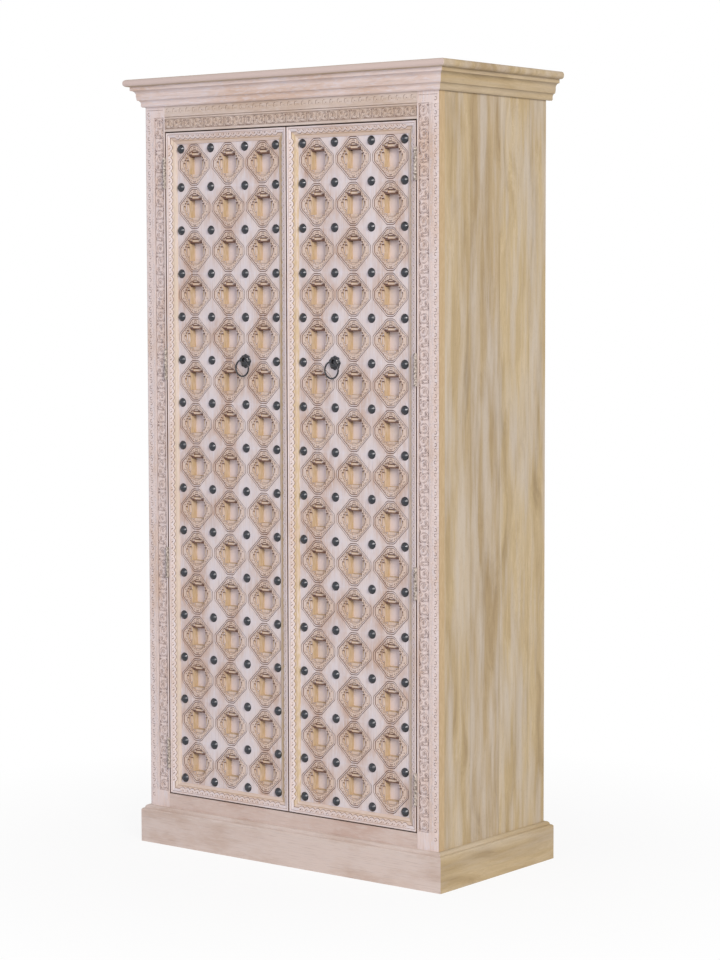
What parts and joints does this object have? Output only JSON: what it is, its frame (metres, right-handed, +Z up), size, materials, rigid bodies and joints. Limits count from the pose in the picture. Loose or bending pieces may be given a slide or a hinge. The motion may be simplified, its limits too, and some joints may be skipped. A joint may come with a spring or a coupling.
{
  "type": "carved storage cabinet",
  "caption": "Tall carved hardwood storage cabinet with pierced, studded doors, iron ring pulls, inner shelves, a stepped cornice and a plinth.",
  "frame": {"origin": "middle of the bounding box at floor level", "axes": "+X to the viewer's right, +Y to the back, +Z up; the doors face -Y"},
  "size_m": [1.004, 0.501, 1.95],
  "materials": {
    "whitewashed_wood": "whitewashed carved hardwood, matt",
    "side_wood": "pale waxed hardwood, matt",
    "inner_wood": "planed hardwood, matt",
    "backing_wood": "whitewashed hardwood board, matt",
    "antique_iron": "blackened forged iron, waxed",
    "limed_hinge": "steel butt hinge washed over with the wood",
    "catch_steel": "plated steel"
  },
  "bodies": {
    "carcass": {"back_plinth_board": "side_wood", "bottom_front_rail": "whitewashed_wood", "cornice_front_moulding": "whitewashed_wood", "floor_board": "inner_wood", "front_plinth_board": "whitewashed_wood", "inner_top_board": "inner_wood", "left_back_board": "inner_wood", "left_cornice_side_moulding": "side_wood", "left_front_stile": "whitewashed_wood", "left_hinge_frame_halves": "limed_hinge", "left_hinge_pins": "limed_hinge", "left_magnetic_catch": "catch_steel", "left_plinth_board": "side_wood", "left_shelf_cleats": "inner_wood", "left_side_panel": "side_wood", "lower_shelf": "inner_wood", "middle_back_board": "inner_wood", "middle_shelf": "inner_wood", "right_back_board": "inner_wood", "right_cornice_side_moulding": "side_wood", "right_front_stile": "whitewashed_wood", "right_hinge_frame_halves": "limed_hinge", "right_hinge_pins": "limed_hinge", "right_magnetic_catch": "catch_steel", "right_plinth_board": "side_wood", "right_shelf_cleats": "inner_wood", "right_side_panel": "side_wood", "top_board": "side_wood", "top_front_rail": "whitewashed_wood", "upper_shelf": "inner_wood"},
    "left_door": {"left_door_backing_board": "backing_wood", "left_door_bottom_rail": "whitewashed_wood", "left_door_hinge_stile": "whitewashed_wood", "left_door_meeting_stile": "whitewashed_wood", "left_door_studs": "antique_iron", "left_door_top_rail": "whitewashed_wood", "left_hinge_door_halves": "limed_hinge", "left_lattice_panel": "whitewashed_wood", "left_ring_pull_boss": "antique_iron", "left_strike_plate": "catch_steel"},
    "right_door": {"right_door_backing_board": "backing_wood", "right_door_bottom_rail": "whitewashed_wood", "right_door_hinge_stile": "whitewashed_wood", "right_door_meeting_stile": "whitewashed_wood", "right_door_studs": "antique_iron", "right_door_top_rail": "whitewashed_wood", "right_hinge_door_halves": "limed_hinge", "right_lattice_panel": "whitewashed_wood", "right_ring_pull_boss": "antique_iron", "right_strike_plate": "catch_steel"},
    "left_ring": {"left_pull_ring": "antique_iron"},
    "right_ring": {"right_pull_ring": "antique_iron"}
  },
  "joints": [
    {"name": "left_door_hinge", "type": "hinge", "parent": "carcass", "child": "left_door", "pos_m": [-0.3945, -0.2139, 0.9755], "axis": [0, 0, -1], "range_deg": [0, 165]},
    {"name": "right_door_hinge", "type": "hinge", "parent": "carcass", "child": "right_door", "pos_m": [0.3945, -0.2139, 0.9755], "axis": [0, 0, 1], "range_deg": [0, 165]},
    {"name": "left_ring_swing", "type": "hinge", "parent": "left_door", "child": "left_ring", "pos_m": [-0.1415, -0.2115, 1.2485], "axis": [-1, 0, 0], "range_deg": [0, 165]},
    {"name": "right_ring_swing", "type": "hinge", "parent": "right_door", "child": "right_ring", "pos_m": [0.1415, -0.2115, 1.2485], "axis": [-1, 0, 0], "range_deg": [0, 165]}
  ]
}
